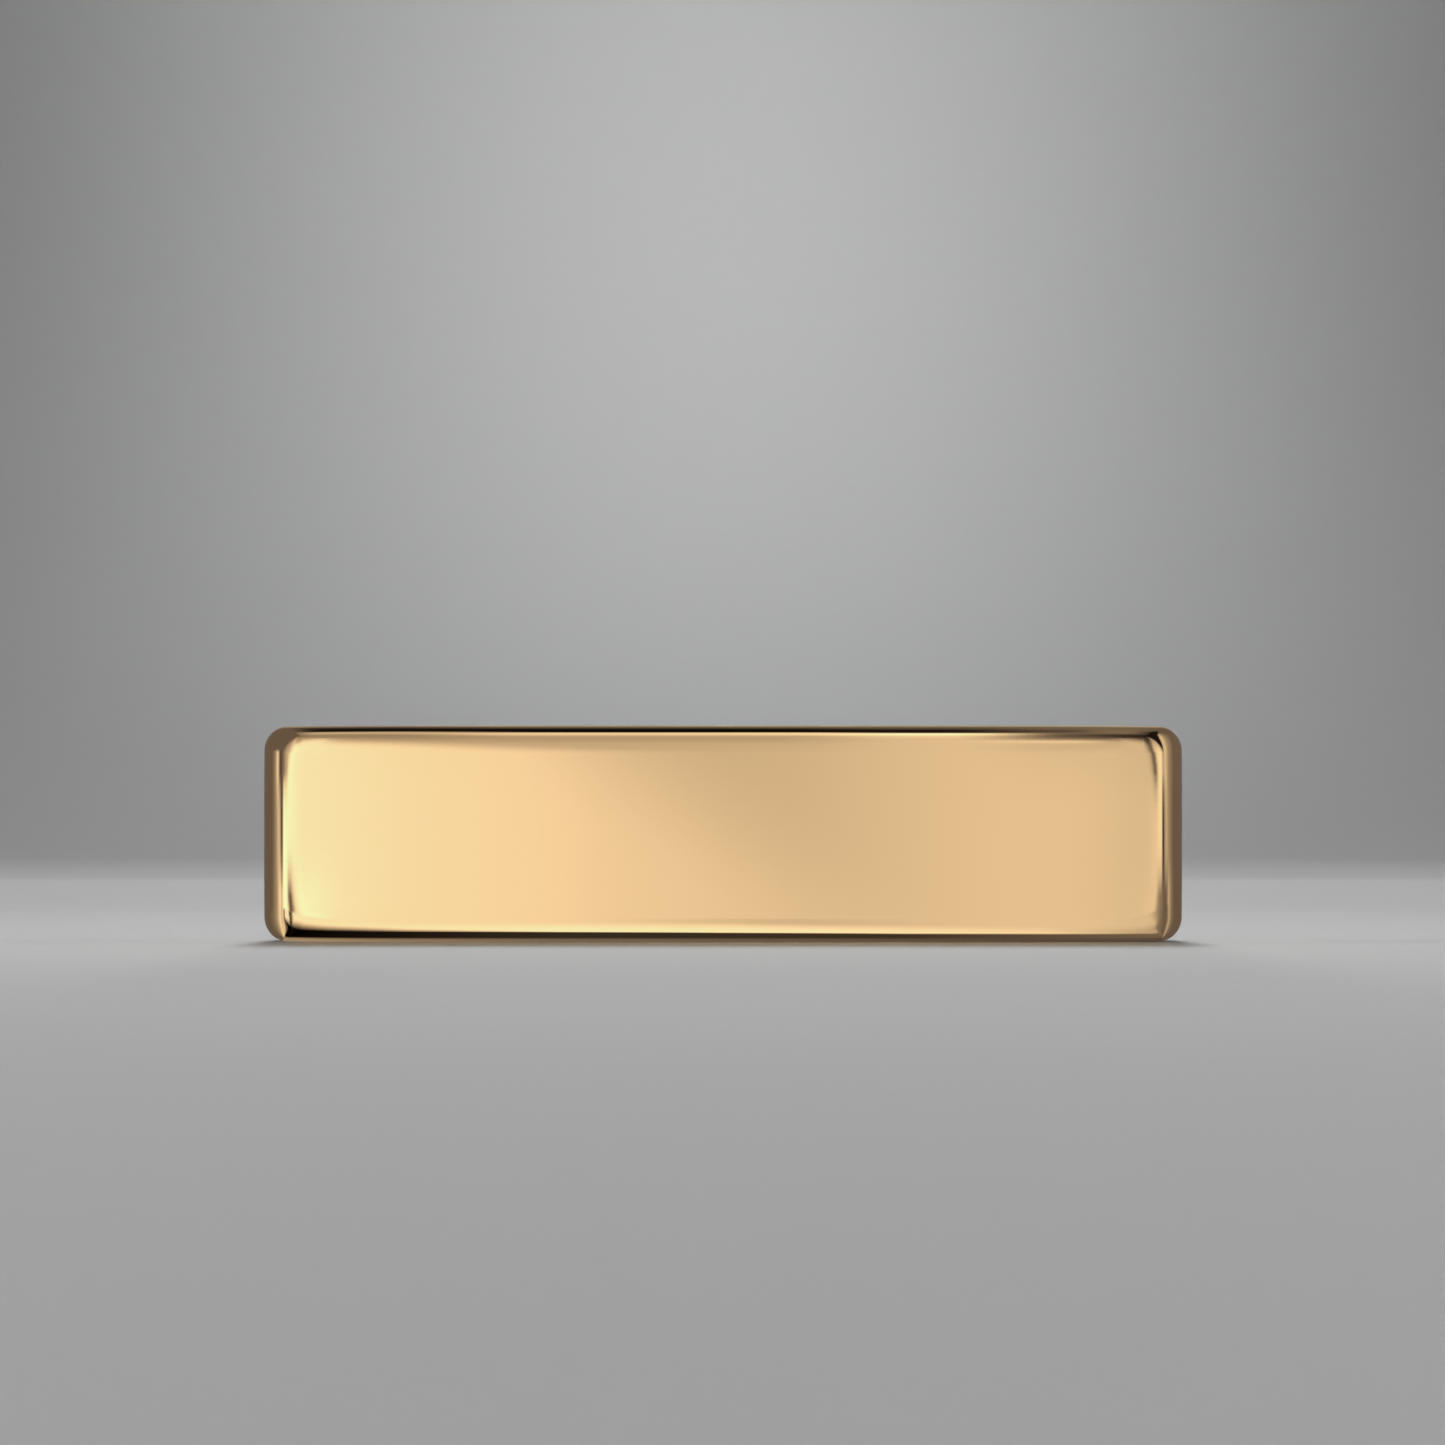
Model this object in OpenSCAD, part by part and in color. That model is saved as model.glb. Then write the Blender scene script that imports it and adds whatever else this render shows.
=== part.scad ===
// Bar paperweight: a drawn brass cover over a steel ballast bar, closed by a
// screwed base plate and faced with felt.
// Each piece is drawn lying on its felt, with X along the bar, Y across it and Z up to the
// polished face. stood() then turns it onto its long side, with the polished face to -Y.

/* [Bar] */
// Length over the cover
bar_l = 170; // [130:1:240]
// Width over the cover
bar_w = 40; // [32:1:60]
// Radius of the four corners, seen square to the polished face
corner_r = 4.5; // [3.5:0.1:7]
// Round-over from the polished face down to each short end
end_r = 4.5; // [3:0.1:5.5]
// Round-over from the polished face down to each long side
side_r = 2; // [1.9:0.1:3.5]
// Radius of the corners of the flat polished face, inside the round-over
face_r = 3; // [2:0.1:5]

/* [Cover] */
// Sheet thickness of the drawn cover
wall = 1; // [0.6:0.1:1.6]
// Chamfer round the outside of the cover's open rim
rim_chamfer = 0.3; // [0.1:0.1:0.5]

/* [Ballast] */
// Thickness of the steel ballast bar
ballast_t = 10; // [6:0.5:16]
// Reach of the ballast bar past the flat inner face, under the round-over at each end
ballast_reach = 1; // [0:0.1:1.4]
// Gap from the ballast bar to each side wall of the cover
ballast_side_gap = 1.5; // [1.5:0.1:4]
// Chamfer along the edges of the ballast bar
ballast_chamfer = 0.6; // [0.2:0.1:1]
// Thickness of the foam sheet between the ballast bar and the cover
bedding_t = 0.5; // [0.5:0.1:2]
// Gap from the foam sheet to each end of the flat inner face
bedding_end_gap = 0.5; // [0.2:0.1:5]
// Gap from the foam sheet to each side of the flat inner face
bedding_side_gap = 2; // [0.5:0.1:5]

/* [Base] */
// Thickness of the steel base plate
base_t = 2; // [1.8:0.1:3]
// Gap from the base plate to the walls of the cover
base_gap = 0.3; // [0.1:0.1:1]
// Thickness of the adhesive film
film_t = 0.2; // [0.1:0.05:0.4]
// Margin of the adhesive film inside the felt's outline
film_margin = 0.5; // [0.2:0.1:2]
// Thickness of the felt pad
felt_t = 1.3; // [1:0.1:3]
// Height that the felt stands proud of the cover's rim
felt_proud = 0.5; // [0.2:0.1:0.8]
// Gap from the felt to the walls of the cover
felt_gap = 0.4; // [0.2:0.1:1]

/* [Fixings] */
// Distance from each end of the cover to the screw axis
screw_inset = 30; // [15:1:50]
// Diameter of the screw's thread
screw_d = 3; // [2.5:0.1:4]
// Length of the screw from the top of its head
screw_l = 8; // [6:1:10]
// Diameter of the screw's countersunk head
head_d = 5.5; // [5:0.1:6.5]
// Height of the straight band round the head
head_band = 0.4; // [0.1:0.1:0.5]
// Width across the flats of the screw's hexagon socket
socket_af = 2; // [1.5:0.1:2.5]
// Depth of the socket
socket_depth = 1.1; // [0.8:0.1:1.5]
// Radial clearance of the screw in the base plate
screw_gap = 0.2; // [0.1:0.05:0.5]
// Diameter of the standoff soldered inside the cover
standoff_d = 8; // [6.5:0.5:10]
// Gap from the standoff's end to the base plate, so that the plate clamps the ballast
standoff_short = 0.2; // [0.1:0.1:0.5]
// Radial clearance of the standoff in the ballast bar and the foam sheet
standoff_gap = 0.2; // [0.1:0.1:1]
// Unthreaded depth below the screw's tip
tap_spare = 1; // [0.5:0.5:2]
// Radial clearance of the screw in the tapped hole
tap_gap = 0.02; // [0.01:0.01:0.05]

/* [Hidden] */

$fn = 64;
corner_steps = 10;  // facets round each corner of the cover
over_steps = 7;     // facets over each round-over of the cover
cut = 1;            // how far a cutting tool runs past the face that it cuts

// Heights of the stack, counted from the felt's outer face
felt_top = felt_t;
base_z = felt_top + film_t;
ballast_z = base_z + base_t;
bedding_z = ballast_z + ballast_t;
cavity_top = bedding_z + bedding_t;
bar_t = cavity_top + wall;
rim_z = felt_proud;

cavity_l = bar_l - 2 * wall;
cavity_w = bar_w - 2 * wall;
cavity_r = corner_r - wall;
flat_l = bar_l - 2 * end_r;
flat_w = bar_w - 2 * side_r;
ballast_l = flat_l + 2 * ballast_reach;
ballast_w = cavity_w - 2 * ballast_side_gap;
screw_x = bar_l / 2 - screw_inset;
head_cone = (head_d - screw_d) / 2;
socket_fn = 6;

// Turns a piece from lying on its felt to standing on its long side, centred over the origin
module stood() translate([0, bar_t / 2, bar_w / 2]) rotate([90, 0, 0]) children();

// Repeats a piece at both screw positions
module at_screws() for (side = [-1, 1]) translate([side * screw_x, 0, 0]) children();

// One quarter of a rounded outline, from the short end (0 degrees) round to the long side (90)
function corner(l, w, r) = [for (i = [0:corner_steps])
    let (a = 90 * i / corner_steps)
    [l / 2 - r + r * cos(a), w / 2 - r + r * sin(a)]];

// Height of the round-over at each point of that quarter, blending from the end to the side
function over_heights(end, side) = [for (i = [0:corner_steps])
    end + (side - end) * pow(sin(90 * i / corner_steps), 2)];

// The quarter at one height, between the flat face's outline (0 degrees) and the wall (90)
function over_quarter(top, inner, outer, heights, t) = [for (i = [0:corner_steps])
    let (p = inner[i] + (outer[i] - inner[i]) * sin(t))
    [p.x, p.y, top - heights[i] * (1 - cos(t))]];

function reversed(list) = [for (i = [len(list) - 1:-1:0]) list[i]];
function scaled(list, sx, sy) = [for (p = list) [p.x * sx, p.y * sy, p.z]];

// A whole ring, counterclockwise from the right-hand end, out of its first quarter
function ring(quarter) = concat(
    quarter,
    scaled(reversed(quarter), -1, 1),
    scaled(quarter, -1, -1),
    scaled(reversed(quarter), 1, -1));

function raised(outline, z) = [for (p = outline) [p.x, p.y, z]];

// A solid skinned over rings of equal length, listed from the bottom up
module skinned(rings) {
    n = len(rings[0]);
    last = len(rings) - 1;
    polyhedron(
        points = [for (r = rings) each r],
        faces = concat(
            [[for (i = [0:n - 1]) i]],
            [[for (i = [n - 1:-1:0]) last * n + i]],
            [for (k = [0:last - 1], i = [0:n - 1])
                [k * n + i, (k + 1) * n + i, (k + 1) * n + (i + 1) % n]],
            [for (k = [0:last - 1], i = [0:n - 1])
                [k * n + i, (k + 1) * n + (i + 1) % n, k * n + (i + 1) % n]]));
}

// A block whose top edge is rounded over by `inset` less than the cover's own radii, so that
// two of them with different insets stay parallel. `chamfer` breaks its bottom edge.
module rounded_block(inset, bottom, top, chamfer) {
    l = bar_l - 2 * inset;
    w = bar_w - 2 * inset;
    r = corner_r - inset;
    outer = corner(l, w, r);
    inner = corner(flat_l, flat_w, face_r);
    heights = over_heights(end_r - inset, side_r - inset);
    rim = corner(l - 2 * chamfer, w - 2 * chamfer, r - chamfer);
    skinned(concat(
        chamfer > 0 ? [ring(raised(rim, bottom))] : [],
        [ring(raised(outer, bottom + chamfer))],
        [for (k = [over_steps:-1:0])
            ring(over_quarter(top, inner, outer, heights, 90 * k / over_steps))]));
}

// A flat plate with rounded corners
module plate(l, w, r, t) {
    linear_extrude(t) {
        square([l - 2 * r, w], center = true);
        square([l, w - 2 * r], center = true);
        for (x = [-1, 1], y = [-1, 1])
            translate([x * (l / 2 - r), y * (w / 2 - r)]) circle(r);
    }
}

// A rectangle with its corners cut off
module chamfered_rectangle(l, w, c) {
    x = l / 2;
    y = w / 2;
    polygon([[x - c, -y], [x, c - y], [x, y - c], [x - c, y],
             [c - x, y], [-x, y - c], [-x, c - y], [c - x, -y]]);
}

// Drawn brass shell, open towards the felt
module cover() {
    color([0.93, 0.72, 0.42]) stood()
        difference() {
            rounded_block(0, rim_z, bar_t, rim_chamfer);
            rounded_block(wall, rim_z - cut, cavity_top, 0);
        }
}

// Round brass pillars soldered inside the cover's face, tapped for the base screws
module standoffs() {
    bottom = ballast_z + standoff_short;
    tap_depth = base_z + screw_l + tap_spare - bottom;
    color([0.80, 0.64, 0.34]) stood()
        at_screws()
            difference() {
                translate([0, 0, bottom]) cylinder(d = standoff_d, h = cavity_top - bottom);
                translate([0, 0, bottom - cut])
                    cylinder(d = screw_d + 2 * tap_gap, h = tap_depth + cut);
            }
}

// Thin foam sheet that stops the ballast bar rattling against the cover
module bedding_sheet() {
    color([0.15, 0.15, 0.16]) stood()
        difference() {
            translate([0, 0, bedding_z])
                plate(flat_l - 2 * bedding_end_gap, flat_w - 2 * bedding_side_gap, face_r, bedding_t);
            at_screws()
                translate([0, 0, bedding_z - cut])
                    cylinder(d = standoff_d + 2 * standoff_gap, h = bedding_t + 2 * cut);
        }
}

// Steel flat bar that gives the paperweight its mass
module ballast_bar() {
    color([0.45, 0.46, 0.48]) stood()
        translate([0, 0, ballast_z])
            difference() {
                intersection() {
                    linear_extrude(ballast_t)
                        chamfered_rectangle(ballast_l, ballast_w, ballast_chamfer);
                    translate([-ballast_l / 2, 0, ballast_t / 2]) rotate([90, 0, 90])
                        linear_extrude(ballast_l)
                            chamfered_rectangle(ballast_w, ballast_t, ballast_chamfer);
                }
                at_screws()
                    translate([0, 0, -cut])
                        cylinder(d = standoff_d + 2 * standoff_gap, h = ballast_t + 2 * cut);
            }
}

// Shape of a screw's head and shank, grown by `gap` all round
module screw_shape(gap, length) {
    head = head_d + 2 * gap;
    shank = screw_d + 2 * gap;
    cylinder(d = head, h = head_band);
    translate([0, 0, head_band]) cylinder(d1 = head, d2 = shank, h = head_cone);
    translate([0, 0, head_band + head_cone])
        cylinder(d = shank, h = length - head_band - head_cone);
}

// Steel plate that closes the cover, countersunk for its two screws
module base_plate() {
    color([0.62, 0.63, 0.65]) stood()
        translate([0, 0, base_z])
            difference() {
                plate(cavity_l - 2 * base_gap, cavity_w - 2 * base_gap, cavity_r - base_gap, base_t);
                at_screws() {
                    screw_shape(screw_gap, base_t + cut);
                    translate([0, 0, -cut]) cylinder(d = head_d + 2 * screw_gap, h = cut);
                }
            }
}

// Countersunk socket screws, flush with the base plate
module base_screws() {
    color([0.30, 0.30, 0.32]) stood()
        translate([0, 0, base_z])
            at_screws()
                difference() {
                    screw_shape(0, screw_l);
                    translate([0, 0, -cut])
                        cylinder(d = socket_af / cos(180 / socket_fn), h = socket_depth + cut,
                                 $fn = socket_fn);
                }
}

// Double-sided film that holds the felt to the base plate
module adhesive_film() {
    inset = felt_gap + film_margin;
    color([0.85, 0.80, 0.62]) stood()
        translate([0, 0, felt_top])
            plate(cavity_l - 2 * inset, cavity_w - 2 * inset, cavity_r - inset, film_t);
}

// Felt pad that the bar lies on when it is in use
module felt_pad() {
    color([0.06, 0.22, 0.13]) stood()
        plate(cavity_l - 2 * felt_gap, cavity_w - 2 * felt_gap, cavity_r - felt_gap, felt_t);
}

cover();
standoffs();
bedding_sheet();
ballast_bar();
base_plate();
base_screws();
adhesive_film();
felt_pad();
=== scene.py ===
"""A polished bar paperweight standing on its long side, in a plain studio. Lengths are in metres."""
import math

import bmesh
import bpy
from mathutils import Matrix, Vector, noise


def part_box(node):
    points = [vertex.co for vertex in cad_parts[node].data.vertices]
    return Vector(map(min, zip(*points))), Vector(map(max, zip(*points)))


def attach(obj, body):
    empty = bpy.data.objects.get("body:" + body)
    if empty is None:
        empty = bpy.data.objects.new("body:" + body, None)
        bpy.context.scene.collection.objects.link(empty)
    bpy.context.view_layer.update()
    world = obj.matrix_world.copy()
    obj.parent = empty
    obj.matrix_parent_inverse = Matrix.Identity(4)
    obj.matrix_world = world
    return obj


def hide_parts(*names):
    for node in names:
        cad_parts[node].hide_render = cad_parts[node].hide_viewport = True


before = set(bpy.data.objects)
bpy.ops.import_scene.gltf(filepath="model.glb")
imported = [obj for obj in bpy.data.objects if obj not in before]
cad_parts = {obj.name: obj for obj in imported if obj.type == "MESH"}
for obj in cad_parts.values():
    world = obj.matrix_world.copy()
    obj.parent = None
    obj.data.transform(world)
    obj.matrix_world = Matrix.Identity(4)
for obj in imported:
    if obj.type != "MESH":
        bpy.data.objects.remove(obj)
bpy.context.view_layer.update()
MM = 0.001

# ---------------------------------------------------------------- sizes

COVER_LOW, COVER_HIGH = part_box("cover")
FELT_LOW, FELT_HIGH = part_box("felt_pad")

FACE_Y = COVER_LOW.y                       # the polished face, towards the camera
RIM_Y = COVER_HIGH.y                       # the open rim, round the felt
HALF_L = (COVER_HIGH.x - COVER_LOW.x) / 2
HALF_W = (COVER_HIGH.z - COVER_LOW.z) / 2
MID_Z = (COVER_HIGH.z + COVER_LOW.z) / 2

CORNER_R = 4.5 * MM                        # corners seen square to the face
END_R = 4.5 * MM                           # round-over down to the ends
SIDE_R = 2 * MM                            # round-over down to the long sides
FACE_R = 3 * MM                            # corners of the face, where the round-over starts
WALL = 1 * MM                              # how thick the shell is
LIP_R = 0.25 * MM                          # rounded edges of the open rim

ROLL_W = 3 * MM                            # band of the face that rolls off before the round-over
ROLL_CORNER_R = 3.5 * MM                   # corners of the flat part inside that band
ROLL_SLOPE = math.tan(math.radians(2.2))   # the band's slope where the round-over starts
ROLL_INNER_R = 0.06 * MM                   # corners of the innermost ring of the face
EASE_START = 57 * MM                       # past this, each end draws in across the width
EASE = 0.22 * MM                           # by this much at the end, on each side
END_BOW = 0.06 * MM                        # an end's corners sit this far back from its middle

CORNER_STEPS = 20                          # of a ring, round one corner
LONG_STEPS = 60                            # along a long side
SHORT_STEPS = 14                           # along an end
ROLL_STEPS = 12                            # rings over the band that rolls off
OVER_STEPS = 36                            # rings over the round-over
WALL_STEPS = 5                             # rings down the outer wall
INNER_STEPS = 8                            # rings over the round-over's inside
EDGE_STEPS = 6                             # rings round a small edge, as on the lip and the felt


def spaced(low, high, steps):
    return [low + (high - low) * step / steps for step in range(steps + 1)]


def piece_from(name, mesh):
    """A smooth object made from a bmesh."""
    data = bpy.data.meshes.new(name)
    mesh.to_mesh(data)
    mesh.free()
    data.polygons.foreach_set("use_smooth", [True] * len(data.polygons))
    piece = bpy.data.objects.new(name, data)
    bpy.context.scene.collection.objects.link(piece)
    return piece


# ---------------------------------------------------------------- node helpers

def new_material(name):
    """An empty node material with its Principled shader."""
    material = bpy.data.materials.new(name)
    material.use_nodes = True
    tree = material.node_tree
    shader = tree.nodes["Principled BSDF"]
    return material, tree, shader


def link(tree, source, target):
    """Feeds a socket from another socket, or sets it to a plain value."""
    if isinstance(source, bpy.types.NodeSocket):
        tree.links.new(source, target)
    else:
        target.default_value = source


def maths(tree, operation, *values, clamp=False):
    node = tree.nodes.new("ShaderNodeMath")
    node.operation = operation
    node.use_clamp = clamp
    for value, socket in zip(values, node.inputs):
        link(tree, value, socket)
    return node.outputs[0]


def smooth(tree, value, low, high):
    """0 below low, 1 above high, smooth between. Falls instead where low is above high."""
    node = tree.nodes.new("ShaderNodeMapRange")
    node.interpolation_type = "SMOOTHSTEP"
    falls = low > high
    link(tree, value, node.inputs["Value"])
    node.inputs["From Min"].default_value = min(low, high)
    node.inputs["From Max"].default_value = max(low, high)
    node.inputs["To Min"].default_value = 1.0 if falls else 0.0
    node.inputs["To Max"].default_value = 0.0 if falls else 1.0
    return node.outputs[0]


def mix(tree, share, low, high):
    """low where share is 0, high where it is 1."""
    node = tree.nodes.new("ShaderNodeMix")
    link(tree, share, node.inputs[0])
    link(tree, low, node.inputs[2])
    link(tree, high, node.inputs[3])
    return node.outputs[0]


def profile(tree, value, stops):
    """A level that follows (value, level) stops, straight between them."""
    low, high = stops[0][0], stops[-1][0]
    top = max(level for _, level in stops)
    place = maths(tree, "DIVIDE", maths(tree, "SUBTRACT", value, low), high - low, clamp=True)
    node = tree.nodes.new("ShaderNodeValToRGB")
    ramp = node.color_ramp
    while len(ramp.elements) < len(stops):
        ramp.elements.new(0.5)
    for element, (at, level) in zip(ramp.elements, stops):
        element.position = (at - low) / (high - low)
        element.color = (level / top, level / top, level / top, 1)
    link(tree, place, node.inputs[0])
    return maths(tree, "MULTIPLY", node.outputs[0], top)


def split(tree, vector):
    node = tree.nodes.new("ShaderNodeSeparateXYZ")
    tree.links.new(vector, node.inputs[0])
    return node.outputs


def noise_at(tree, vector, scale, detail=3.0, roughness=0.5, stretch=(1, 1, 1)):
    mapping = tree.nodes.new("ShaderNodeMapping")
    mapping.inputs["Scale"].default_value = stretch
    tree.links.new(vector, mapping.inputs["Vector"])
    node = tree.nodes.new("ShaderNodeTexNoise")
    node.inputs["Scale"].default_value = scale
    node.inputs["Detail"].default_value = detail
    node.inputs["Roughness"].default_value = roughness
    tree.links.new(mapping.outputs[0], node.inputs["Vector"])
    return node.outputs["Fac"]


def turned(tree, vector, degrees):
    """The place turned about Y."""
    mapping = tree.nodes.new("ShaderNodeMapping")
    mapping.inputs["Rotation"].default_value = (0, math.radians(degrees), 0)
    tree.links.new(vector, mapping.inputs["Vector"])
    return mapping.outputs[0]


def object_place(tree):
    return tree.nodes.new("ShaderNodeTexCoord").outputs["Object"]


def bump(tree, shader, height, distance, strength=1.0):
    node = tree.nodes.new("ShaderNodeBump")
    node.inputs["Strength"].default_value = strength
    node.inputs["Distance"].default_value = distance
    tree.links.new(height, node.inputs["Height"])
    tree.links.new(node.outputs[0], shader.inputs["Normal"])


def two_colours(tree, share, low, high):
    node = tree.nodes.new("ShaderNodeMix")
    node.data_type = "RGBA"
    link(tree, share, node.inputs[0])
    node.inputs[6].default_value = (*low, 1)
    node.inputs[7].default_value = (*high, 1)
    return node.outputs[2]


RED_TOP = 0.95                             # red goes no further, so that bright gold stays yellow


def card_colour(tree, level):
    """Light of a level, a little cool: red lags behind green, and blue runs ahead of it."""
    red = maths(tree, "MINIMUM", level, maths(tree, "MULTIPLY_ADD", level, 0.965, 0.005))
    blue = maths(tree, "MINIMUM", maths(tree, "MULTIPLY", level, 1.16), maths(tree, "ADD", level, 0.022))
    node = tree.nodes.new("ShaderNodeCombineColor")
    link(tree, maths(tree, "MINIMUM", red, RED_TOP), node.inputs[0])
    link(tree, level, node.inputs[1])
    link(tree, blue, node.inputs[2])
    return node.outputs[0]


# ---------------------------------------------------------------- camera

LENS, SENSOR = 100, 36                     # in mm
FRAME_W = 0.26706                          # what the frame spans, a little behind the face
AIM_DEPTH = 3 * MM                         # which is this far behind it
EYE_Z = 22.5 * MM
CAMERA_DISTANCE = FRAME_W * LENS / SENSOR

camera_data = bpy.data.cameras.new("camera")
camera_data.lens = LENS
camera_data.sensor_width = SENSOR
camera_data.shift_x = -0.0004
camera_data.shift_y = 0.0677
camera_data.dof.use_dof = False
camera = bpy.data.objects.new("camera", camera_data)
camera.location = (0, FACE_Y + AIM_DEPTH - CAMERA_DISTANCE, EYE_Z)
camera.rotation_euler = (math.radians(90), 0, 0)
bpy.context.scene.collection.objects.link(camera)
bpy.context.scene.camera = camera


# ---------------------------------------------------------------- the cover

def loop_places():
    """Where each point of a ring goes: its corner, its angle there, and its share of the straight
    run to the next corner."""
    places = []
    runs = (SHORT_STEPS, LONG_STEPS, SHORT_STEPS, LONG_STEPS)
    for quarter in range(4):
        start = 90 * quarter
        for step in range(CORNER_STEPS):
            places.append((quarter, start + 90 * step / CORNER_STEPS, 0.0))
        run = runs[(quarter + 1) % 4]
        for step in range(run):
            places.append((quarter, start + 90, step / run))
    return places


PLACES = loop_places()
SIGNS = ((1, 1), (-1, 1), (-1, -1), (1, -1))


def rounded_point(place, half_l, half_w, radius):
    """A point of a rounded rectangle: x along the bar and w across it."""
    quarter, angle, along = place

    def at(which, degrees):
        sign_x, sign_w = SIGNS[which % 4]
        turn = math.radians(degrees)
        return Vector((
            sign_x * (half_l - radius) + radius * math.cos(turn),
            sign_w * (half_w - radius) + radius * math.sin(turn),
        ))

    here = at(quarter, angle)
    if along == 0:
        return here
    return here.lerp(at(quarter + 1, angle), along)


def over_radius(angle, inset):
    """The round-over's height: END_R where the outline faces an end, SIDE_R where it faces a side."""
    return SIDE_R - inset + (END_R - SIDE_R) * math.cos(math.radians(angle)) ** 2


def shaped(x, w, depth):
    """Puts a point of the cover in place: depth is counted back from the polished face."""
    past = max(0.0, (abs(x) - EASE_START) / (HALF_L - EASE_START))
    w *= 1 - EASE / HALF_W * past ** 2
    x -= math.copysign(END_BOW * (w / HALF_W) ** 2 * past, x)
    return Vector((x, FACE_Y + depth, MID_Z + w))


def wall_ring(inset, depth):
    return [
        shaped(*rounded_point(p, HALF_L - inset, HALF_W - inset, CORNER_R - inset), depth)
        for p in PLACES
    ]


def roll_drop(x, w):
    """How far the surface has rolled off at a point: not at all on the flat part, then ever faster."""
    past_l = abs(x) - (HALF_L - END_R - ROLL_W - ROLL_CORNER_R)
    past_w = abs(w) - (HALF_W - SIDE_R - ROLL_W - ROLL_CORNER_R)
    if past_l > 0 and past_w > 0:
        distance = math.hypot(past_l, past_w) - ROLL_CORNER_R
    else:
        distance = max(past_l, past_w) - ROLL_CORNER_R
    return ROLL_SLOPE * max(0.0, distance) ** 2 / (2 * ROLL_W)


def over_ring(inset, top_depth, turn):
    """A ring of the round-over: turn is 0 at the face and 90 degrees at the wall."""
    reach = math.sin(math.radians(turn))
    points = []
    for place in PLACES:
        inner = rounded_point(place, HALF_L - END_R, HALF_W - SIDE_R, FACE_R)
        outer = rounded_point(place, HALF_L - inset, HALF_W - inset, CORNER_R - inset)
        flat = inner.lerp(outer, reach)
        fall = over_radius(place[1], inset) * (1 - math.cos(math.radians(turn)))
        points.append(shaped(flat.x, flat.y, top_depth + fall + roll_drop(flat.x, flat.y)))
    return points


def roll_ring(share):
    """A ring of the face: share is 0 on the flat part and 1 at the round-over."""
    inset = (ROLL_W + 0.3 * ROLL_CORNER_R) * (1 - share)
    corner_r = max(ROLL_INNER_R, FACE_R - inset)
    points = []
    for place in PLACES:
        flat = rounded_point(place, HALF_L - END_R - inset, HALF_W - SIDE_R - inset, corner_r)
        points.append(shaped(flat.x, flat.y, roll_drop(flat.x, flat.y)))
    return points


def lip_rings():
    """The open rim, from the outer wall round both its edges to the inner wall."""
    depth = RIM_Y - FACE_Y
    turns = [math.radians(degrees) for degrees in spaced(0, 90, EDGE_STEPS)]
    rings = []
    for turn in turns:
        inset = LIP_R * (1 - math.cos(turn))
        rings.append(wall_ring(inset, depth - LIP_R + LIP_R * math.sin(turn)))
    for turn in turns:
        inset = WALL - LIP_R + LIP_R * math.sin(turn)
        rings.append(wall_ring(inset, depth - LIP_R + LIP_R * math.cos(turn)))
    return rings


def cover_rings():
    """Every ring of the shell, from the middle of the face over the wall and back inside."""
    depth = RIM_Y - FACE_Y
    rings = [roll_ring(share) for share in spaced(0, 1, ROLL_STEPS)]
    rings += [over_ring(0, 0, turn) for turn in spaced(0, 90, OVER_STEPS)[1:]]
    wall_start = [p.y - FACE_Y for p in rings[-1]]
    full = wall_ring(0, 0)
    for share in spaced(0, 1, WALL_STEPS)[1:-1]:
        rings.append([
            Vector((p.x, FACE_Y + start + (depth - LIP_R - start) * share, p.z))
            for p, start in zip(full, wall_start)
        ])
    rings += lip_rings()
    rings += [over_ring(WALL, WALL, turn) for turn in spaced(90, 0, INNER_STEPS)]
    return rings


def skin(name, rings):
    """A closed mesh over rings of equal length, capped at both ends."""
    mesh = bmesh.new()
    rows = [[mesh.verts.new(p) for p in ring] for ring in rings]
    count = len(rows[0])
    for near, far in zip(rows, rows[1:]):
        for i in range(count):
            j = (i + 1) % count
            mesh.faces.new((near[i], near[j], far[j], far[i]))
    mesh.faces.new(reversed(rows[0]))
    mesh.faces.new(rows[-1])
    bmesh.ops.recalc_face_normals(mesh, faces=mesh.faces)
    return piece_from(name, mesh)


GRAIN_DEPTH = 0.0008 * MM                  # of the bump that stands for grain and hairline marks


def polished_gold():
    """A mirror finish with a breath of haze, a fine grain and a few hairline marks along the bar."""
    material, tree, shader = new_material("polished_gold")
    place = object_place(tree)
    shader.inputs["Base Color"].default_value = (0.98, 0.64, 0.32, 1)
    shader.inputs["Metallic"].default_value = 1
    haze = noise_at(tree, place, 60, 4, 0.6)
    grain = noise_at(tree, place, 2600, 2)
    hairs = smooth(tree, noise_at(tree, place, 900, 2, 0.5, (0.03, 1, 1)), 0.68, 0.78)
    rough = maths(tree, "MULTIPLY_ADD", haze, 0.03, 0.03)
    link(tree, maths(tree, "MULTIPLY_ADD", hairs, 0.03, rough), shader.inputs["Roughness"])
    bump(tree, shader, maths(tree, "MULTIPLY_ADD", hairs, -0.4, grain), GRAIN_DEPTH, 0.6)
    return material


cover = skin("cover_shell", cover_rings())
cover.data.materials.append(polished_gold())
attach(cover, "root")
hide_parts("cover")


# ---------------------------------------------------------------- the felt

FELT_FUZZ = 0.05 * MM                      # how far the nap rises and falls
FELT_EDGE_R = 0.4 * MM                     # its outer edge is pressed round
FELT_STEP = 0.8 * MM                       # between the rings of its outer face
FELT_INNER_R = 0.3 * MM                    # corners of the innermost rings
FELT_WAVES = 180                           # how close the rises and falls are, per metre


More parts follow.
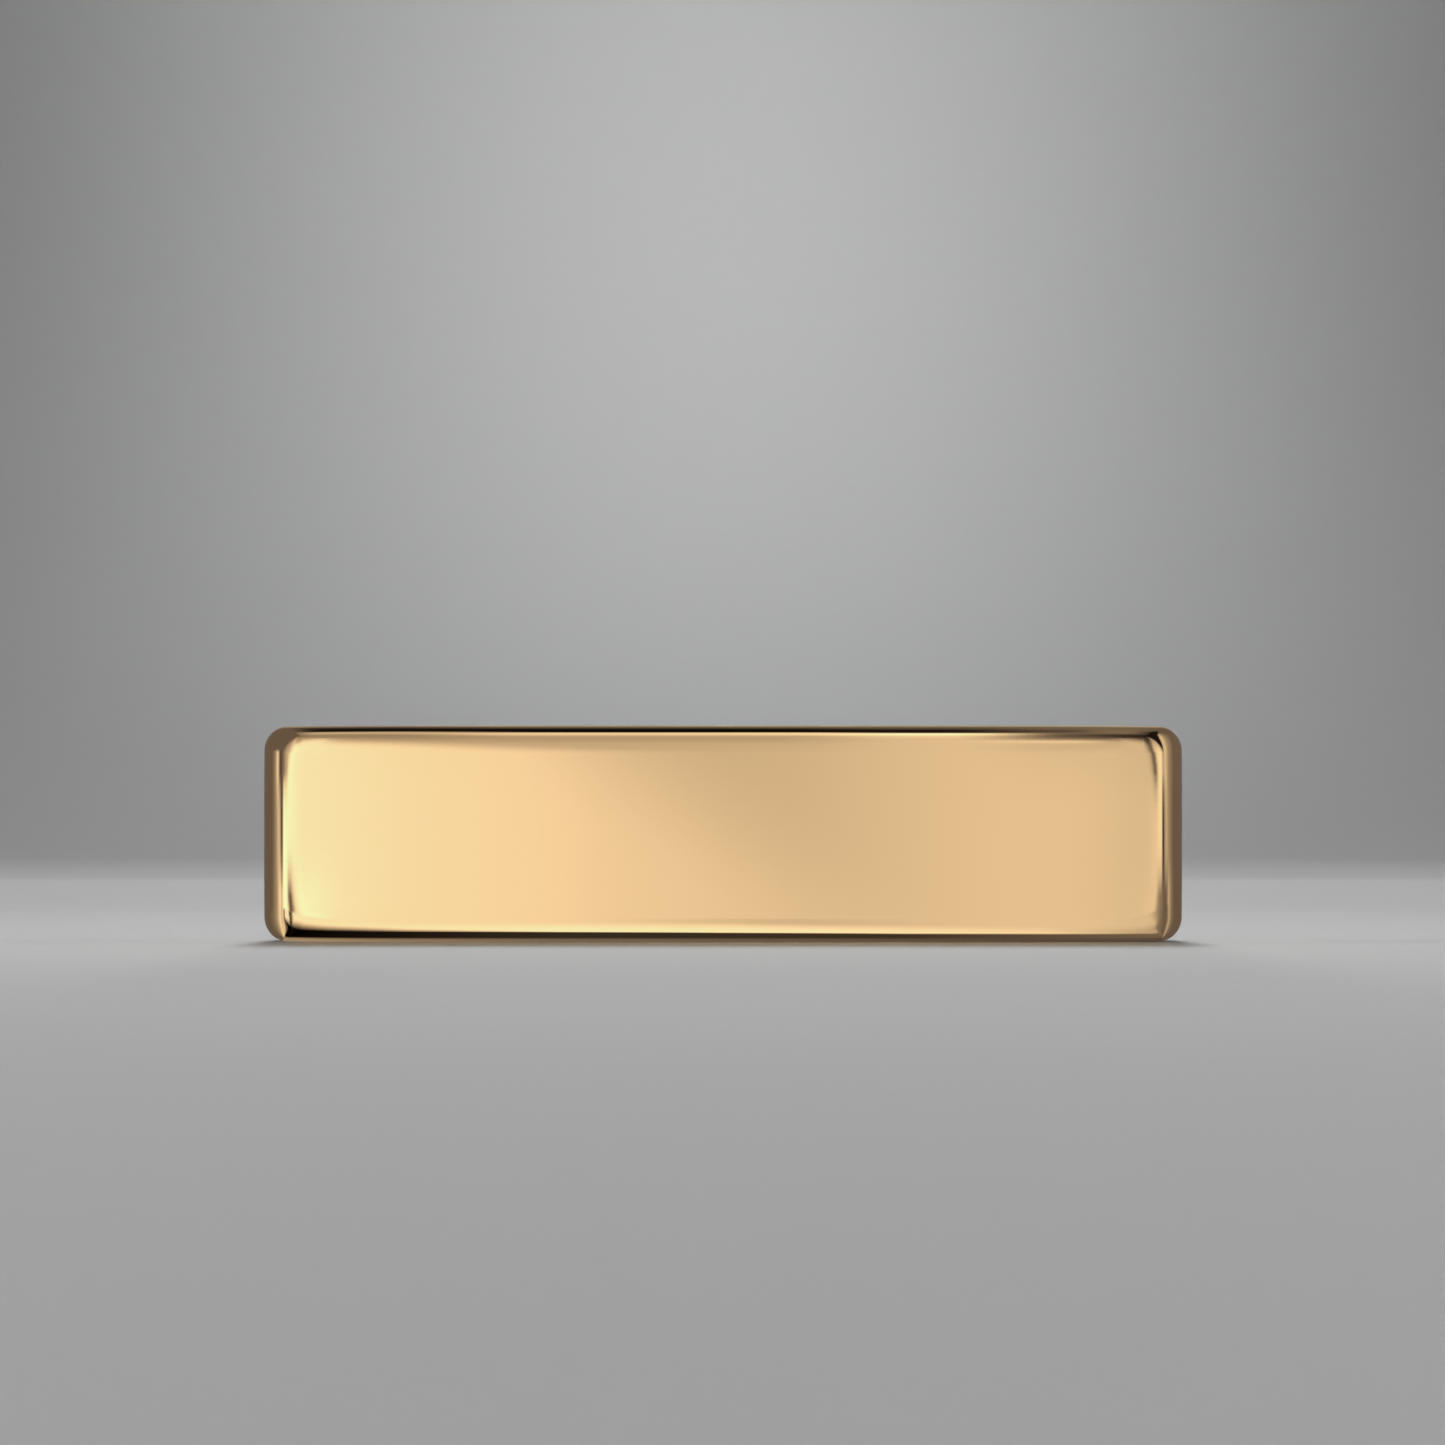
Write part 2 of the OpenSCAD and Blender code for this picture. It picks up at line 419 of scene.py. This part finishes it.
def felt_slab():
    """A slab with soft edges and an uneven outer face."""
    half_l = (FELT_HIGH.x - FELT_LOW.x) / 2
    half_w = (FELT_HIGH.z - FELT_LOW.z) / 2
    radius = CORNER_R - (HALF_L - half_l)
    outer_y = FELT_HIGH.y - FELT_FUZZ

    def ring(inset, y, uneven=0.0):
        points = []
        for place in PLACES:
            corner_r = max(FELT_INNER_R, radius - 0.9 * inset)
            p = rounded_point(place, half_l - inset, half_w - inset, corner_r)
            rise = uneven * noise.noise(Vector((p.x * FELT_WAVES, p.y * FELT_WAVES, 0.5)))
            points.append(Vector((p.x, y + rise, MID_Z + p.y)))
        return points

    rings = [ring(FELT_EDGE_R, FELT_LOW.y), ring(FELT_FUZZ, FELT_LOW.y + FELT_EDGE_R / 2)]
    for degrees in spaced(0, 90, EDGE_STEPS):
        turn = math.radians(degrees)
        inset = FELT_FUZZ + FELT_EDGE_R * (1 - math.cos(turn))
        rings.append(ring(inset, outer_y - FELT_EDGE_R + FELT_EDGE_R * math.sin(turn)))
    inset = FELT_FUZZ + FELT_EDGE_R + FELT_STEP
    while inset < half_w - FELT_STEP:
        rings.append(ring(inset, outer_y, FELT_FUZZ))
        inset += FELT_STEP
    return skin("felt_slab", rings)


def felt_material():
    """Pressed wool: short fibres that cross at five angles, thicker and thinner in patches."""
    def lay(way):
        return noise_at(tree, way, 1500, 5, 0.7, (0.3, 1, 1))

    material, tree, shader = new_material("green_felt")
    place = object_place(tree)
    fibres = lay(place)
    for degrees in (34, 71, 108, 145):
        fibres = maths(tree, "MAXIMUM", fibres, lay(turned(tree, place, degrees)))
    clumps = noise_at(tree, place, 220, 4, 0.6)
    share = maths(tree, "MULTIPLY", smooth(tree, fibres, 0.5, 0.74), maths(tree, "ADD", clumps, 0.4))
    colour = two_colours(tree, share, (0.012, 0.06, 0.032), (0.06, 0.21, 0.12))
    link(tree, colour, shader.inputs["Base Color"])
    shader.inputs["Roughness"].default_value = 0.95
    shader.inputs["Sheen Weight"].default_value = 0.3
    shader.inputs["Sheen Roughness"].default_value = 0.5
    shader.inputs["Specular IOR Level"].default_value = 0.15
    bump(tree, shader, fibres, 0.0003, 0.9)
    return material


felt = felt_slab()
felt.data.materials.append(felt_material())
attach(felt, "root")
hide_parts("felt_pad")


# ---------------------------------------------------------------- the pieces inside

def surface(name, dark, pale, share, metallic=0.0, rough=(0.4, 0.5)):
    """A material between two colours, and its roughness between two levels, as share's pattern goes."""
    material, tree, shader = new_material(name)
    pattern = share(tree, object_place(tree))
    link(tree, two_colours(tree, pattern, dark, pale), shader.inputs["Base Color"])
    shader.inputs["Metallic"].default_value = metallic
    roughness = maths(tree, "MULTIPLY_ADD", pattern, rough[1] - rough[0], rough[0])
    link(tree, roughness, shader.inputs["Roughness"])
    return material, tree, shader, pattern


def turned_brass():
    """Tool rings round the pillars, which stand along Y."""
    material, tree, shader, rings = surface(
        "turned_brass", (0.44, 0.27, 0.07), (0.66, 0.43, 0.13),
        lambda tree, place: noise_at(tree, place, 6000, 3, 0.6, (0.04, 1, 0.04)),
        metallic=1, rough=(0.22, 0.38),
    )
    bump(tree, shader, rings, 0.00003, 0.7)
    return material


def drawn_steel():
    """Die lines along the bar, and the darker film that the mill leaves."""
    def lines(tree, place):
        fine = noise_at(tree, place, 2400, 4, 0.65, (0.015, 1, 1))
        film = noise_at(tree, place, 45, 4, 0.6, (0.4, 1, 1))
        return maths(tree, "MULTIPLY_ADD", film, 0.6, maths(tree, "MULTIPLY", fine, 0.4))

    material, tree, shader, pattern = surface(
        "drawn_steel", (0.09, 0.095, 0.105), (0.26, 0.27, 0.29), lines, metallic=1, rough=(0.5, 0.28),
    )
    bump(tree, shader, pattern, 0.00002, 0.6)
    return material


def zinc_plate():
    """The spangle of passivated zinc."""
    material, tree, shader, _ = surface(
        "zinc_plate", (0.30, 0.33, 0.38), (0.52, 0.51, 0.46),
        lambda tree, place: noise_at(tree, place, 320, 5, 0.6),
        metallic=1, rough=(0.26, 0.44),
    )
    bump(tree, shader, noise_at(tree, object_place(tree), 2200, 3, 0.6), 0.00001, 0.5)
    return material


def black_oxide():
    """An oiled black coat, paler where a key has rubbed it."""
    material, tree, shader, _ = surface(
        "black_oxide", (0.012, 0.012, 0.014), (0.07, 0.07, 0.075),
        lambda tree, place: smooth(tree, noise_at(tree, place, 1500, 4, 0.6), 0.4, 0.8),
        metallic=0.9, rough=(0.34, 0.5),
    )
    bump(tree, shader, noise_at(tree, object_place(tree), 5000, 3, 0.6), 0.00001, 0.6)
    return material


def closed_foam():
    """Closed cells under a thin skin."""
    material, tree, shader = new_material("closed_foam")
    cells = tree.nodes.new("ShaderNodeTexVoronoi")
    cells.feature = "SMOOTH_F1"
    cells.inputs["Scale"].default_value = 2600
    tree.links.new(object_place(tree), cells.inputs["Vector"])
    share = smooth(tree, cells.outputs["Distance"], 0.15, 0.6)
    colour = two_colours(tree, share, (0.032, 0.032, 0.036), (0.012, 0.012, 0.014))
    link(tree, colour, shader.inputs["Base Color"])
    shader.inputs["Roughness"].default_value = 0.85
    bump(tree, shader, share, 0.00008, 0.7)
    return material


def clear_film():
    """A yellowish film with small trapped bubbles."""
    material, tree, shader, bubbles = surface(
        "clear_film", (0.60, 0.54, 0.34), (0.74, 0.70, 0.52),
        lambda tree, place: smooth(tree, noise_at(tree, place, 700, 3, 0.55), 0.5, 0.72),
        rough=(0.25, 0.5),
    )
    shader.inputs["Transmission Weight"].default_value = 0.35
    shader.inputs["IOR"].default_value = 1.48
    bump(tree, shader, bubbles, 0.00002, 0.6)
    return material


for name, make in (
    ("standoffs", turned_brass),
    ("ballast_bar", drawn_steel),
    ("base_plate", zinc_plate),
    ("base_screws", black_oxide),
    ("bedding_sheet", closed_foam),
    ("adhesive_film", clear_film),
):
    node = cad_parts[name]
    node.data.materials.clear()
    node.data.materials.append(make())


# ---------------------------------------------------------------- studio

GLOW_COLOUR = (0.74, 0.61, 0.42)           # the floor, where the metal throws warm light on it
GLOW_REACH = 35 * MM                       # how far ahead of the bar that goes
GLOW_UNDER = 15 * MM                       # and how far back under it
END_FADE = 10 * MM                         # what stops at the bar's ends fades over this length


def floor_material():
    """Matt grey, with painted warm light from the metal just ahead of the bar."""
    material, tree, shader = new_material("floor")
    x, y, _ = split(tree, object_place(tree))
    # painted warm light that the metal throws, from a little under the bar to ahead of it
    ahead = maths(tree, "MULTIPLY_ADD", y, -1, FACE_Y)
    painted_glow = maths(tree, "MULTIPLY", smooth(tree, ahead, GLOW_REACH, 0.0),
                 smooth(tree, ahead, -GLOW_UNDER, 0.0))
    beside_it = smooth(tree, maths(tree, "ABSOLUTE", x), HALF_L, HALF_L - END_FADE)
    painted_glow = maths(tree, "MULTIPLY", painted_glow, beside_it)
    link(tree, two_colours(tree, painted_glow, (0.62, 0.62, 0.62), GLOW_COLOUR), shader.inputs["Base Color"])
    shader.inputs["Roughness"].default_value = 0.9
    shader.inputs["Specular IOR Level"].default_value = 0
    return material


def dish():
    """A round floor that curves up into a wall on every side. The metal doesn't mirror it."""
    floor_r, cove_r, wall_h = 1.6, 0.9, 2.6
    around = 96
    section = [(0.3, 0.0), (0.8, 0.0), (floor_r, 0.0)]
    for degrees in spaced(0, 90, 16)[1:]:
        turn = math.radians(degrees)
        section.append((floor_r + cove_r * math.sin(turn), cove_r * (1 - math.cos(turn))))
    section.append((floor_r + cove_r, wall_h))
    turns = [2 * math.pi * i / around for i in range(around)]
    mesh = bmesh.new()
    middle = mesh.verts.new((0, 0, 0))
    rows = [
        [mesh.verts.new((r * math.cos(turn), r * math.sin(turn), z)) for turn in turns]
        for r, z in section
    ]
    for i in range(around):
        j = (i + 1) % around
        mesh.faces.new((middle, rows[0][i], rows[0][j]))
        for near, far in zip(rows, rows[1:]):
            mesh.faces.new((near[i], far[i], far[j], near[j]))
    floor = piece_from("floor", mesh)
    floor.data.materials.append(floor_material())
    floor.visible_glossy = False


FLOOR_LEVEL = 0.85                         # the open floor, as the metal mirrors it
DUSK = 0.136                               # the unlit room
CARD_REACH = 110 * MM                      # how far the floor card goes past the bar
CARD_DROP = 0.1 * MM                       # it lies this far below the floor
CARD_SLANT = 1.37                          # how fast the left front card's edge leans over as it rises
GAP_X = HALF_L - 4.7 * MM                  # the dark gap to the left points here, at the left end
GAP_LEVEL = 0.02
FLAG_LEVEL = 0.012                         # a black flag
SOFT_BOX_LEVEL = 0.3                       # added by the soft box behind
PIVOT_X = HALF_L - 3.5 * MM                # what stands past an end turns about this upright,
PIVOT_Y = FACE_Y + 1 * MM                  # which is inside the end's round-over


def front_card(tree, aside, up):
    """The cards ahead, by the angle to the side: a bright one on the left, a dimmer one on the right."""
    left = profile(tree, aside, [
        (-6, 1.18), (-4.6, 1.07), (-2.9, 1.01), (-1.7, 0.92), (1.1, 0.82),
    ])
    right = profile(tree, aside, [
        (-1.7, 0.63), (0, 0.65), (1.1, 0.68), (2.5, 0.757), (4, 0.825), (5.1, 0.823), (5.9, 0.75),
    ])
    across = maths(tree, "TANGENT", maths(tree, "RADIANS", aside))
    edge = maths(tree, "MULTIPLY_ADD", up, CARD_SLANT, across)
    return mix(tree, smooth(tree, edge, -0.035, 0.03), left, right)


def angle_about(tree, pivot_x, x, out):
    """The angle to the side, in degrees, seen from a pivot and counted from straight ahead."""
    return maths(tree, "DEGREES", maths(tree, "ARCTAN2", maths(tree, "SUBTRACT", x, pivot_x), out))


def for_reflections_only(card):
    """The metal mirrors the card, and nothing else sees it."""
    for ray in ("camera", "diffuse", "shadow", "transmission", "volume_scatter"):
        setattr(card, "visible_" + ray, False)


def floor_card():
    """A painted reflection of the floor close by, as the metal mirrors it: painted shade along the
    contact, then bright.
    """
    half_x = HALF_L + CARD_REACH
    half_y = -FACE_Y + CARD_REACH
    mesh = bmesh.new()
    mesh.faces.new([
        mesh.verts.new((x * half_x, y * half_y, -CARD_DROP))
        for x, y in ((-1, -1), (1, -1), (1, 1), (-1, 1))
    ])
    card = piece_from("floor_card", mesh)
    card.data.materials.append(floor_card_material())
    for_reflections_only(card)


def floor_card_material():
    """Light by the place on the floor. ahead is the distance out from the face's or the felt's side."""
    material = bpy.data.materials.new("floor_card")
    material.use_nodes = True
    tree = material.node_tree
    tree.nodes.clear()
    x, y, _ = split(tree, object_place(tree))
    ahead = maths(tree, "SUBTRACT", maths(tree, "ABSOLUTE", y), -FACE_Y)

    # the strip of floor in the bar's own shade, a wedge that widens to the left
    shade_end = profile(tree, x, [
        (-0.09, 0.045), (-0.078, 0.036), (-0.06, 0.024), (-0.03, 0.013), (0, 0.0068),
        (0.033, 0.0035), (0.07, 0.0026),
    ])
    shade = profile(tree, x, [
        (-0.078, 0.002), (-0.06, 0.01), (-0.03, 0.035), (0.033, 0.045), (0.06, 0.11), (0.08, 0.17),
    ])

    # beyond it a bright floor, and then the front cards, which take over sooner to the right
    near = profile(tree, x, [
        (-0.078, 1.25), (-0.03, 1.28), (0.02, 1.23), (0.045, 1.1), (0.06, 0.96), (0.074, 0.65),
        (0.082, 0.5), (0.087, 0.2),
    ])
    pace = profile(tree, x, [(0, 1), (0.033, 1.35), (0.07, 1.7)])
    path = maths(tree, "SUBTRACT", CAMERA_DISTANCE, y)
    aside = maths(tree, "DEGREES", maths(tree, "ARCTAN2", x, path))
    far = front_card(tree, aside, 0.0)
    level = mix(tree, smooth(tree, maths(tree, "MULTIPLY", ahead, pace), 0.016, 0.07), near, far)
    level = mix(tree, smooth(tree, maths(tree, "DIVIDE", ahead, shade_end), 0.5, 1.4), shade, level)

    # a dark gap between the cards, to the left
    bearing = maths(tree, "DIVIDE", maths(tree, "ADD", x, GAP_X), maths(tree, "MAXIMUM", ahead, 1 * MM))
    gap = maths(tree, "MULTIPLY", smooth(tree, bearing, -0.15, -0.164),
                smooth(tree, bearing, -0.186, -0.174))
    gap = maths(tree, "MULTIPLY", gap, smooth(tree, y, 0.0, FACE_Y))
    level = mix(tree, gap, level, GAP_LEVEL)

    # painted shade under the bar
    under = profile(tree, x, [(-0.078, 0.37), (-0.06, 0.27), (-0.03, 0.19), (0, 0.15), (0.06, 0.1)])
    level = mix(tree, smooth(tree, ahead, 0.0, -0.0011), level, under)

    # past the ends, what stands beside carries on down to the floor
    out = maths(tree, "MULTIPLY_ADD", y, -1, PIVOT_Y)
    around_left = angle_about(tree, -PIVOT_X, x, out)
    around_right = angle_about(tree, PIVOT_X, x, out)
    left = profile(tree, around_left, [
        (-100, DUSK), (-78, 0.2), (-60, 0.35), (-50, 0.6), (-40, 1.0), (-32, 0.7), (-26, 0.9), (-20, 0.2),
    ])
    right = profile(tree, around_right, [
        (10, 0.25), (30, 0.15), (42, 0.15), (50, 0.3), (56, 0.55), (62, 0.34), (72, 0.2), (88, DUSK),
    ])
    level = mix(tree, smooth(tree, around_left, -12, -20), level, left)
    level = mix(tree, smooth(tree, around_right, 6, 11), level, right)

    # behind the bar, the open floor
    behind = smooth(tree, maths(tree, "ABSOLUTE", x), HALF_L, HALF_L - END_FADE)
    behind = maths(tree, "MULTIPLY", behind, smooth(tree, y, 0.0, 20 * MM))
    level = mix(tree, behind, level, FLOOR_LEVEL)

    emission = tree.nodes.new("ShaderNodeEmission")
    tree.links.new(card_colour(tree, level), emission.inputs["Color"])
    output = tree.nodes.new("ShaderNodeOutputMaterial")
    tree.links.new(emission.outputs[0], output.inputs["Surface"])
    return material


def beside(tree, aside, rise):
    """What stands to the left and right, by the angle to the side: one profile for level rays,
    and others for rays that rise or fall."""
    left = profile(tree, aside, [
        (-84, DUSK), (-75, 0.19), (-67, 0.27), (-60, 0.37), (-52, 0.57), (-45.5, 0.77), (-38, 0.45),
        (-34, 0.12), (-29, 0.05), (-25, 0.5), (-22, 1.4), (-17, 1.56), (-10.6, 1.43), (-9, 1.37),
        (-8.2, 1.3), (-6, 1.18),
    ])
    left_above = profile(tree, aside, [
        (-84, DUSK), (-75, 0.21), (-67, 0.3), (-60, 0.54), (-53, 0.95), (-47, 0.55), (-42, 0.15),
        (-36, 0.08), (-24, 0.21), (-17, 0.33), (-10.8, 0.55), (-10.3, 0.8), (-9.9, 1.3), (-9.4, 1.43),
        (-8.6, 1.25), (-6, 1.18),
    ])
    left_below = profile(tree, aside, [
        (-84, DUSK), (-60, 0.34), (-52, 0.5), (-45, 0.85), (-38, 1.08), (-31, 0.62), (-24, 1.2),
        (-17, 1.5), (-10.9, 1.44), (-10.4, 1.2), (-10.1, 0.4), (-9.8, 0.02), (-9.3, 0.02), (-8.9, 0.55),
        (-8.5, 0.95), (-8.1, 1.12), (-7.4, 1.3), (-6.6, 1.43), (-5.9, 1.4),
    ])
    right = profile(tree, aside, [
        (5.9, 0.75), (7.1, 0.757), (9.05, 0.85), (9.5, 0.84), (9.9, 0.97), (12, 1.05), (16, 1.05),
        (19, 0.6), (23, 0.04), (27, 0.03), (32, 0.342), (39.4, 0.59), (46.8, 0.47), (54, 0.337),
        (62, 0.262), (78, 0.142),
    ])
    right_above = profile(tree, aside, [
        (5.9, 0.705), (7.5, 0.73), (8.25, 0.62), (8.65, 0.5), (9.0, 0.2), (9.4, 0.05), (9.7, 0.1),
        (10.1, 0.9), (12, 1.12), (16, 1.0), (19, 0.85), (25, 0.48), (32, 0.65), (39, 0.71), (47, 0.455),
        (54, 0.33), (70, 0.22), (78, 0.15),
    ])
    right_below = profile(tree, aside, [
        (5.9, 0.77), (9.0, 0.84), (9.5, 0.83), (9.8, 0.56), (10.3, 0.33), (12, 0.27), (19, 0.22),
        (32, 0.15), (40, 0.145), (47, 0.3), (54, 0.6), (62, 0.34), (70, 0.24), (78, 0.17), (84, DUSK),
    ])
    above = smooth(tree, rise, 0.002, 0.017)
    below = smooth(tree, rise, -0.007, -0.0215)
    left = mix(tree, below, mix(tree, above, left, left_above), left_below)
    right = mix(tree, below, mix(tree, above, right, right_above), right_below)
    return mix(tree, smooth(tree, aside, -2, 2), left, right)


def overhead(tree, above, swing):
    """What hangs above the front card, by the angle up, as a share of the card's own level."""
    left = profile(tree, above, [
        (2.8, 1), (3.3, 0.99), (3.7, 0.94), (4.85, 0.64), (5.25, 0.55), (10, 0.5), (18, 0.52),
        (25, 0.62), (33, 0.84), (40, 0.97), (50, 0.85), (54, 0.35), (60, 0.02), (84, 0.005), (119, 0.14),
    ])
    middle = profile(tree, above, [
        (1.2, 1), (1.7, 0.96), (3.3, 0.94), (4.85, 0.73), (5.25, 0.74), (10, 0.96), (16, 1.2),
        (25, 1.48), (36, 1.48), (42, 1.2), (46, 0.4), (49, 0.01), (78, 0.005), (88, 0.02), (94, 0.09),
        (110, 0.18), (119, 0.2),
    ])
    right_of_middle = profile(tree, above, [
        (1.2, 1), (4.85, 1.0), (5.25, 1.1), (10, 1.32), (17, 1.75), (30, 1.85), (35, 1.5), (38, 0.6),
        (42, 0.1), (50, 0.01), (70, 0.01), (82, 0.06), (94, 0.14), (119, 0.2),
    ])
    right = profile(tree, above, [
        (0.4, 1), (1.7, 0.84), (2.9, 0.8), (3.5, 0.84), (3.8, 1.0), (4.1, 1.3), (4.35, 0.9), (4.6, 0.4),
        (4.85, 0.19), (5.25, 0.15), (10, 0.1), (40, 0.22), (57, 0.1), (94, 0.22), (119, 0.2),
    ])
    far_right = profile(tree, above, [
        (0.4, 1), (1.7, 0.96), (3.3, 0.77), (3.7, 0.67), (4.08, 0.5), (4.46, 0.26), (4.85, 0.15),
        (5.25, 0.08), (10, 0.03), (25, 0.08), (40, 0.27), (57, 0.28), (119, 0.2),
    ])
    level = mix(tree, smooth(tree, swing, -0.085, -0.045), left, middle)
    level = mix(tree, smooth(tree, swing, 0.015, 0.045), level, right_of_middle)
    level = mix(tree, smooth(tree, swing, 0.055, 0.085), level, right)
    return mix(tree, smooth(tree, swing, 0.09, 0.1), level, far_right)


def surroundings():
    """What the metal mirrors further off: cards ahead, beside and above, a flag, a floor and dusk."""
    world = bpy.data.worlds.new("surroundings")
    bpy.context.scene.world = world
    world.use_nodes = True
    tree = world.node_tree
    tree.nodes.clear()
    direction = tree.nodes.new("ShaderNodeTexCoord").outputs["Generated"]
    x, y, z = split(tree, direction)
    ahead = maths(tree, "MULTIPLY", y, -1.0)
    aside = maths(tree, "DEGREES", maths(tree, "ARCTAN2", x, ahead))
    above = maths(tree, "DEGREES", maths(tree, "ARCTAN2", z, ahead))
    wide = maths(tree, "ABSOLUTE", x)
    tall = maths(tree, "ABSOLUTE", z)
    off_axis = maths(tree, "DEGREES", maths(tree, "ARCCOSINE", ahead))

    # where nothing else stands: a black flag to the right, and dusk elsewhere
    flag = maths(tree, "MULTIPLY", smooth(tree, off_axis, 66, 60), smooth(tree, x, 0.0, 0.1))
    flag = maths(tree, "MULTIPLY", flag, smooth(tree, x, 0.52, 0.44))
    level = mix(tree, flag, DUSK, FLAG_LEVEL)

    # an upright strip: the front cards, and what hangs above them
    strip = maths(tree, "MULTIPLY", front_card(tree, aside, z), overhead(tree, above, x))
    level = mix(tree, smooth(tree, wide, 0.2, 0.11), level, strip)

    # a level strip that crosses it: a low band to both sides, and a tall card on the far right
    turned_away = maths(tree, "ABSOLUTE", aside)
    sides = mix(tree, smooth(tree, turned_away, 6.2, 5.4), beside(tree, aside, z), strip)
    soft_band = smooth(tree, tall, 0.16, 0.05)
    crisp_band = smooth(tree, tall, 0.1, 0.07)
    low_band = mix(tree, smooth(tree, turned_away, 9.6, 9.9), crisp_band, soft_band)
    low_band = mix(tree, smooth(tree, z, -0.02, 0.02), soft_band, low_band)
    tall_card = maths(tree, "MULTIPLY", smooth(tree, x, 0.42, 0.5), smooth(tree, z, 0.7, 0.4))
    tall_card = maths(tree, "MULTIPLY", tall_card, smooth(tree, z, 0.0, 0.05))
    level = mix(tree, maths(tree, "MAXIMUM", low_band, tall_card), level, sides)

    # the floor, where a ray misses the floor card
    floor = maths(tree, "MULTIPLY", smooth(tree, z, -0.1, -0.16), smooth(tree, wide, 0.75, 0.5))
    level = mix(tree, floor, level, FLOOR_LEVEL)

    # a soft box high behind the bar, clear of its ends
    box = maths(tree, "MULTIPLY", smooth(tree, y, 0.3, 0.85), smooth(tree, z, 0.06, 0.3))
    box = maths(tree, "MULTIPLY", box, smooth(tree, wide, 0.7, 0.2))
    level = maths(tree, "MULTIPLY_ADD", box, SOFT_BOX_LEVEL, level)

    background = tree.nodes.new("ShaderNodeBackground")
    tree.links.new(card_colour(tree, level), background.inputs["Color"])
    output = tree.nodes.new("ShaderNodeOutputWorld")
    tree.links.new(background.outputs[0], output.inputs["Surface"])
    world.cycles_visibility.diffuse = False


def area_light(name, place, target, watts, shape, size, spread=180):
    """A soft light for the floor, the wall and the felt. The metal doesn't mirror it."""
    data = bpy.data.lights.new(name, "AREA")
    data.shape = shape
    data.size, data.size_y = size
    data.energy = watts
    data.spread = math.radians(spread)
    lamp = bpy.data.objects.new(name, data)
    lamp.location = place
    lamp.rotation_euler = (Vector(target) - Vector(place)).to_track_quat("-Z", "Y").to_euler()
    lamp.visible_glossy = False
    lamp.visible_camera = False
    bpy.context.scene.collection.objects.link(lamp)


def lights():
    """Two from behind and above, one from the front, and a wash on each quarter of the wall."""
    behind = (0, 1.3, 2.0)
    in_front = (0, -1.3, 1.5)
    bar = (0, 0, 0)
    area_light("back_light", behind, bar, 15, "ELLIPSE", (0.6, 1.3))
    area_light("floor_light", behind, bar, 3.8, "ELLIPSE", (0.6, 1.3), spread=80)
    area_light("front_light", in_front, bar, 4.5, "DISK", (1.3, 1.3))
    for quarter in range(4):
        turn = math.radians(90 * quarter)
        x, y = math.sin(turn), math.cos(turn)
        place = (-1.8 * x, -1.8 * y, 0.95)
        wall = (2.4 * x, 2.4 * y, 0.45)
        area_light("wall_light", place, wall, 1.5, "RECTANGLE", (0.3, 1.3), spread=18)


dish()
floor_card()
surroundings()
lights()

bpy.context.scene.view_settings.view_transform = "Standard"
